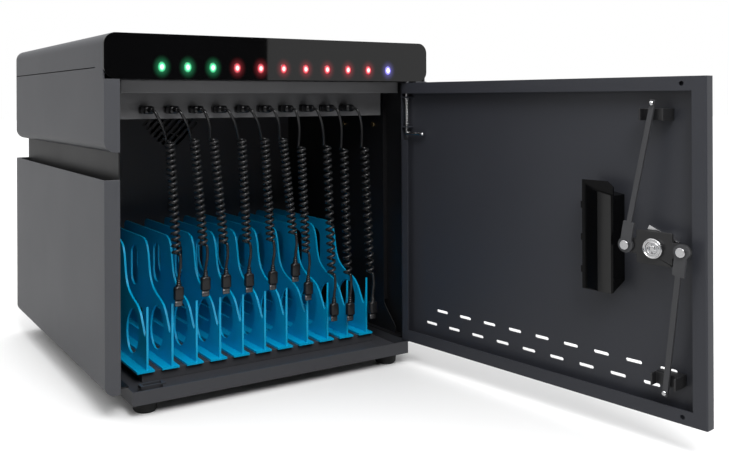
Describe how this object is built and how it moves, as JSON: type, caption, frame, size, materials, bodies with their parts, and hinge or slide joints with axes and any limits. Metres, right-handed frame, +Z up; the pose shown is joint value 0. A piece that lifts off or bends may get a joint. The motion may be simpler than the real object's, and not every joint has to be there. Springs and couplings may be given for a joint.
{
  "type": "desktop charging cabinet",
  "caption": "Lockable desktop cabinet that charges tablets and phones in upright blue bays, with status lamps, coiled leads, side hand grips and a hinged door.",
  "frame": {"origin": "bottom centre of the whole cabinet with its door open as stored, on the table under the feet", "axes": "+X to the right seen from the front, +Y from the door to the rear panel, +Z up"},
  "size_m": [0.406, 0.687, 0.357],
  "materials": {
    "case_paint": "fine satin powder coat",
    "base_paint": "satin powder coat",
    "inner_paint": "satin powder coat",
    "door_paint": "satin powder coat",
    "hardware_paint": "black zinc plate, semi gloss",
    "fascia_gloss": "polished",
    "lamp_green": "lit lens",
    "lamp_red": "lit lens",
    "lamp_blue": "lit lens",
    "circuit_board": "solder mask",
    "socket_metal": "nickel plate",
    "bright_metal": "bright zinc",
    "brass_screw": "passivated",
    "divider_blue": "moulded, semi gloss",
    "cord_black": "soft PVC jacket",
    "plug_black": "moulded",
    "black_plastic": "moulded",
    "foot_rubber": "matt"
  },
  "bodies": {
    "cabinet": {"back_partition": "inner_paint", "base_tray": "base_paint", "bay_wall_left": "inner_paint", "bay_wall_right": "inner_paint", "bottom_hinge_pin": "hardware_paint", "cable_bar": "inner_paint", "charging_sockets": "socket_metal", "chassis": "inner_paint", "cord_coils": "cord_black", "cord_connectors": "plug_black", "cord_lower_leads": "cord_black", "cord_plugs": "plug_black", "cord_upper_leads": "cord_black", "divider_01": "divider_blue", "divider_02": "divider_blue", "divider_03": "divider_blue", "divider_04": "divider_blue", "divider_05": "divider_blue", "divider_06": "divider_blue", "divider_07": "divider_blue", "divider_08": "divider_blue", "divider_09": "divider_blue", "divider_10": "divider_blue", "divider_11": "divider_blue", "fan_frame": "black_plastic", "fascia": "fascia_gloss", "feet": "foot_rubber", "hood": "case_paint", "lamp_blue": "lamp_blue", "lamp_board": "circuit_board", "lamps_green": "lamp_green", "lamps_red": "lamp_red", "lower_cover_left": "case_paint", "lower_cover_right": "case_paint", "mains_inlet": "black_plastic", "panel_screws": "socket_metal", "power_supply": "socket_metal", "rack_base": "base_paint", "rear_panel": "case_paint", "socket_board": "circuit_board", "stop_rail": "inner_paint", "wall_screws": "brass_screw"},
    "door": {"door_pan": "door_paint", "handle_cup": "black_plastic", "lock_barrel": "bright_metal", "lock_nut": "bright_metal", "rod_guides": "hardware_paint", "pin_spring": "bright_metal"},
    "lock_cam": {"lock_core": "bright_metal", "cam_plate": "hardware_paint", "cam_rivets": "bright_metal"},
    "upper_rod": {"upper_rod": "hardware_paint"},
    "lower_rod": {"lower_rod": "hardware_paint"},
    "hinge_pin": {"top_hinge_pin": "bright_metal"},
    "rocker": {"switch_rocker": "black_plastic"},
    "fan": {"fan_rotor": "black_plastic"}
  },
  "joints": [
    {"name": "door_hinge", "type": "hinge", "parent": "cabinet", "child": "door", "pos_m": [0.14799, -0.01294, 0.03], "axis": [0, 0, 1], "range_deg": [-98.5, 4]},
    {"name": "lock_turn", "type": "hinge", "parent": "door", "child": "lock_cam", "pos_m": [0.17453, -0.30826, 0.17], "axis": [0.989, 0.1478, 0], "range_deg": [0, 90]},
    {"name": "upper_rod_pivot", "type": "hinge", "parent": "lock_cam", "child": "upper_rod", "pos_m": [0.169, -0.28482, 0.17], "axis": [0.989, 0.1478, 0], "range_deg": [-99.2, 0.2]},
    {"name": "lower_rod_pivot", "type": "hinge", "parent": "lock_cam", "child": "lower_rod", "pos_m": [0.1761, -0.33229, 0.17], "axis": [0.989, 0.1478, 0], "range_deg": [-99.2, 0.2]},
    {"name": "hinge_pin_pull", "type": "slide", "parent": "door", "child": "hinge_pin", "axis": [0, 0, 1], "range_m": [-0.008, 0], "stiffness_N_per_m": 300, "springref_m": 0.006, "deforming": ["pin_spring"]},
    {"name": "rocker_tilt", "type": "hinge", "parent": "cabinet", "child": "rocker", "pos_m": [0.11699, 0.33446, 0.058], "axis": [1, 0, 0], "range_deg": [0, 20]},
    {"name": "fan_spin", "type": "hinge", "parent": "cabinet", "child": "fan", "pos_m": [-0.02801, 0.26046, 0.264], "axis": [0, 1, 0], "continuous": true}
  ],
  "couplings": [
    {"joint": "upper_rod_pivot", "follows": "lock_turn", "ratio": -1.0997},
    {"joint": "lower_rod_pivot", "follows": "lock_turn", "ratio": -1.0997}
  ]
}
